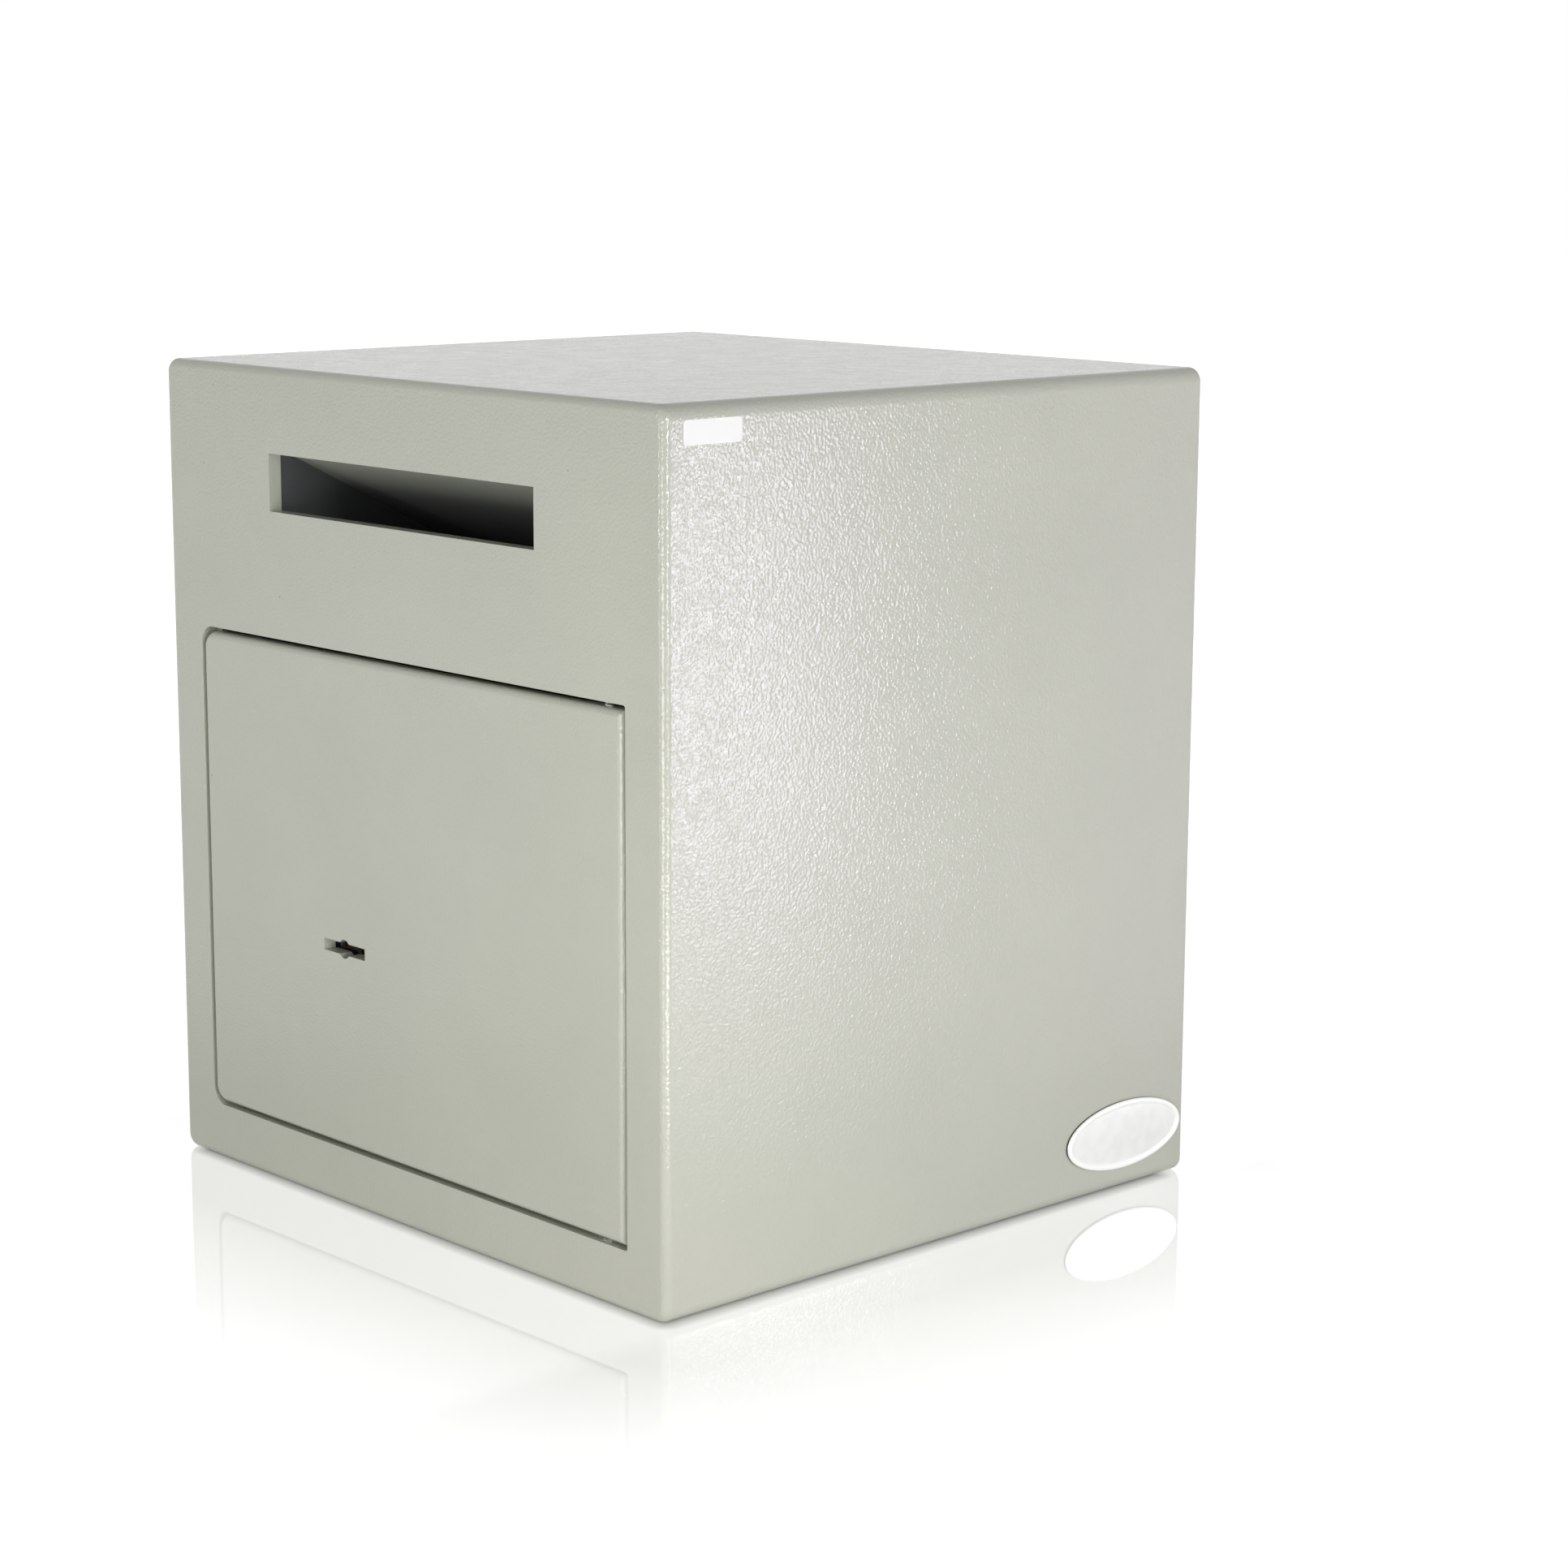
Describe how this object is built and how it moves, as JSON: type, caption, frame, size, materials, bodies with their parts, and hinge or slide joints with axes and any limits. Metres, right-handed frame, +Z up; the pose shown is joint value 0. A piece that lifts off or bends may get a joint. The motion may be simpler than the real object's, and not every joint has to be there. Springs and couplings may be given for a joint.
{
  "type": "deposit safe",
  "caption": "Small steel deposit safe with a front letter slot above a flush key-locked door.",
  "frame": {"origin": "centre of the underside of the body, on the surface it stands on", "axes": "+Z up, the front with the slot and door faces -Y, +X to the right seen from the front"},
  "size_m": [0.3268, 0.3, 0.35],
  "materials": {
    "body_paint": "pebble-grey enamel with a fine orange-peel grain",
    "bright_steel": "turned bright steel",
    "zinc_steel": "zinc-plated sheet",
    "hard_steel": "hardened and blackened plate",
    "lever_brass": "punched brass sheet",
    "screw_steel": "zinc-plated screws",
    "mat_felt": "dark grey needled felt",
    "badge_metal": "silver-white lacquered plate, bare",
    "label_film": "matt white film, bare"
  },
  "bodies": {
    "safe_body": {"front_plate": "body_paint", "body_wrap": "body_paint", "back_panel": "body_paint", "chute_hood": "body_paint", "chute_ramp": "body_paint", "lock_side_frame": "body_paint", "upper_hinge_bracket": "body_paint", "lower_hinge_bracket": "body_paint", "hinge_washer": "bright_steel", "floor_mat": "mat_felt", "badge_plate": "badge_metal", "serial_label": "label_film"},
    "door": {"door_panel": "body_paint", "hard_plate": "hard_steel", "upper_hinge_block": "body_paint", "lower_hinge_block": "body_paint", "upper_hinge_pin": "bright_steel", "lower_hinge_pin": "bright_steel", "lower_bolt_guide": "body_paint", "upper_bolt_guide": "body_paint", "lock_case": "zinc_steel", "lock_cover": "zinc_steel", "lock_screws": "screw_steel", "lever_post": "bright_steel", "key_pin": "bright_steel", "bolt_guide_stud": "bright_steel", "lever_springs": "zinc_steel", "cover_posts": "body_paint", "door_inner_cover": "body_paint", "cover_screws": "screw_steel"},
    "boltwork": {"bolt_bar": "zinc_steel", "lower_locking_bolt": "bright_steel", "upper_locking_bolt": "bright_steel", "lock_bolt": "bright_steel", "bolt_stump": "bright_steel", "bolt_bar_screws": "screw_steel", "link_screw": "screw_steel"},
    "levers": {"lever_1": "lever_brass", "lever_2": "lever_brass", "lever_3": "lever_brass", "lever_4": "lever_brass", "lever_5": "lever_brass", "lever_6": "lever_brass"}
  },
  "joints": [
    {"name": "door_swing", "type": "hinge", "parent": "safe_body", "child": "door", "pos_m": [0.1204, -0.1397, 0.13], "axis": [0, 0, 1], "range_deg": [0, 115]},
    {"name": "bolt_throw", "type": "slide", "parent": "door", "child": "boltwork", "axis": [-1, 0, 0], "range_m": [0, 0.018]},
    {"name": "lever_lift", "type": "hinge", "parent": "door", "child": "levers", "pos_m": [0.006, -0.1308, 0.132], "axis": [0, 1, 0], "range_deg": [0, 5], "stiffness_Nm_per_rad": 0.1, "springref_deg": -17.19, "deforming": ["lever_springs"]}
  ]
}
